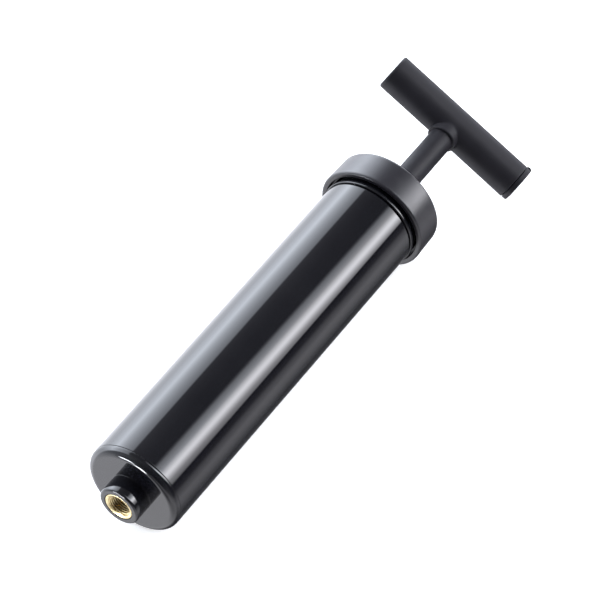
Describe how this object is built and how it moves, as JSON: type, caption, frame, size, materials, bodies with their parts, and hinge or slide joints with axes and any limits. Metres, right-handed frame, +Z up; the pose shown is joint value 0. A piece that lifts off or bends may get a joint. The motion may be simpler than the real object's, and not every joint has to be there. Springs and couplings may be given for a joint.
{
  "type": "ball inflation pump",
  "caption": "Hand pump for sports balls with a sliding T-handle plunger, cup piston, outlet valve, threaded brass outlet and a capped hollow handle.",
  "frame": {"origin": "middle of the underside of the pump's box as it lies on a table, with the plunger partly drawn out", "axes": "+X along the pump from its outlet to its handle, seen from above; +Z up. The pump's own axis rises 1.15 degrees towards the handle, because the collar is wider than the end cap"},
  "size_m": [0.2028, 0.056, 0.0402],
  "materials": {
    "gloss_black": "glossy moulded ABS",
    "matte_black": "satin moulded polypropylene",
    "black_rubber": "matte moulded rubber",
    "white_nylon": "natural moulded nylon",
    "grey_felt": "oiled wool felt",
    "brass": "turned and threaded",
    "zinc_steel": "zinc plated"
  },
  "bodies": {
    "barrel": {"barrel_tube": "gloss_black", "end_cap": "gloss_black", "neck_ring": "gloss_black", "end_cap_o_ring": "black_rubber", "brass_insert": "brass", "needle_seal_washer": "black_rubber", "valve_stop_ring": "white_nylon", "valve_seat_plug": "white_nylon", "collar": "matte_black", "rod_guide": "white_nylon", "rod_wiper": "grey_felt", "bumper_washer": "black_rubber"},
    "outlet_valve": {"valve_disc": "black_rubber"},
    "piston_seal": {"piston_cup": "black_rubber"},
    "plunger": {"piston_rod": "matte_black", "piston_head": "matte_black", "cup_retainer": "white_nylon", "piston_washer": "zinc_steel", "piston_screw": "zinc_steel", "handle": "matte_black"},
    "handle_plug": {"handle_cap": "matte_black"}
  },
  "joints": [
    {"name": "plunger_slide", "type": "slide", "parent": "barrel", "child": "piston_seal", "axis": [0.9998, 0, 0.02], "range_m": [-0.031, 0.0753]},
    {"name": "plunger_spin", "type": "hinge", "parent": "piston_seal", "child": "plunger", "pos_m": [-0.04514, 0.00104, 0.01793], "axis": [0.9998, 0, 0.02], "continuous": true},
    {"name": "handle_cap_hinge", "type": "hinge", "parent": "plunger", "child": "handle_plug", "pos_m": [0.10081, -0.0231, 0.00666], "axis": [-0.0173, -0.5068, 0.8619], "range_deg": [0, 120]},
    {"name": "valve_slide", "type": "slide", "parent": "barrel", "child": "outlet_valve", "axis": [-0.9998, 0, -0.02], "range_m": [0, 0.001]}
  ]
}
